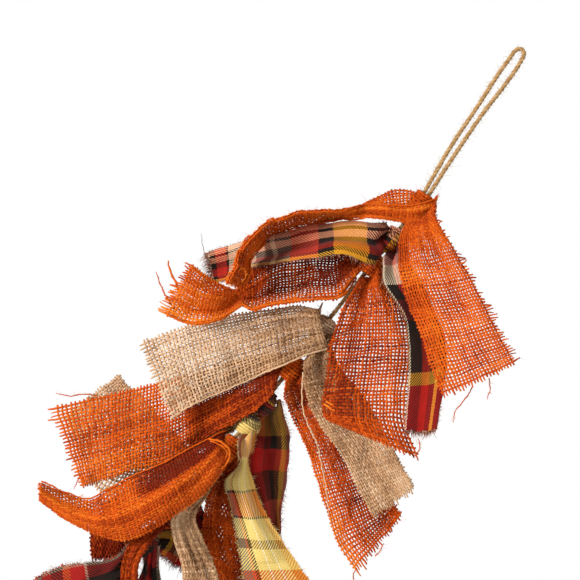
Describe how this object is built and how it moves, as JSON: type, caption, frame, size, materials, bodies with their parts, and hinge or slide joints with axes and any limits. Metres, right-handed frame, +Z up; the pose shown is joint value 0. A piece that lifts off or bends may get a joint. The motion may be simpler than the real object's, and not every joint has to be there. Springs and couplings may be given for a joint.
{
  "type": "fabric tie garland",
  "caption": "Hanging section of a rag-tie garland: burlap and plaid flannel strips knotted round jute twine, with a hanging loop at each end.",
  "frame": {"origin": "outermost point of the hanging loop, where it goes over its hook", "axes": "X to the right, Y straight back from the front, Z up; the garland hangs in the X-Z plane, down to the left"},
  "size_m": [0.3622, 0.1142, 0.4306],
  "materials": {
    "jute_twine": "matte",
    "orange_burlap": "matte",
    "natural_burlap": "matte",
    "plaid_flannel": "matte",
    "yellow_plaid": "matte"
  },
  "bodies": {
    "twine_set": {"backbone_twine": "jute_twine", "top_knot": "jute_twine", "end_knot": "jute_twine", "hanging_loop": "jute_twine", "end_loop": "jute_twine"},
    "ties_1_to_3": {"orange_burlap_tie_1": "orange_burlap", "plaid_flannel_tie_1": "plaid_flannel", "orange_burlap_tie_2": "orange_burlap"},
    "tie_4": {"natural_burlap_tie_1": "natural_burlap"},
    "tie_5": {"orange_burlap_tie_3": "orange_burlap"},
    "ties_6_to_9": {"plaid_flannel_tie_2": "plaid_flannel", "yellow_plaid_tie": "yellow_plaid", "orange_burlap_tie_4": "orange_burlap", "natural_burlap_tie_2": "natural_burlap"},
    "ties_10_to_14": {"plaid_flannel_tie_3": "plaid_flannel", "orange_burlap_tie_5": "orange_burlap", "plaid_flannel_tie_4": "plaid_flannel", "orange_burlap_tie_6": "orange_burlap", "natural_burlap_tie_3": "natural_burlap"}
  },
  "joints": [
    {"name": "ties_1_to_3_swing", "type": "hinge", "parent": "twine_set", "child": "ties_1_to_3", "pos_m": [-0.06223, 0, -0.09515], "axis": [-0.615, 0, -0.7885], "range_deg": [-5, 5]},
    {"name": "tie_4_swing", "type": "hinge", "parent": "twine_set", "child": "tie_4", "pos_m": [-0.12165, 0, -0.17134], "axis": [-0.615, 0, -0.7885], "range_deg": [-5, 5]},
    {"name": "tie_5_swing", "type": "hinge", "parent": "twine_set", "child": "tie_5", "pos_m": [-0.14067, 0, -0.19573], "axis": [-0.615, 0, -0.7885], "range_deg": [-5, 5]},
    {"name": "ties_6_to_9_swing", "type": "hinge", "parent": "twine_set", "child": "ties_6_to_9", "pos_m": [-0.15684, 0, -0.21646], "axis": [-0.634, 0, -0.7733], "range_deg": [-5, 5]},
    {"name": "ties_10_to_14_swing", "type": "hinge", "parent": "twine_set", "child": "ties_10_to_14", "pos_m": [-0.20352, 0, -0.27237], "axis": [-0.6775, 0, -0.7355], "range_deg": [-5, 5]}
  ]
}
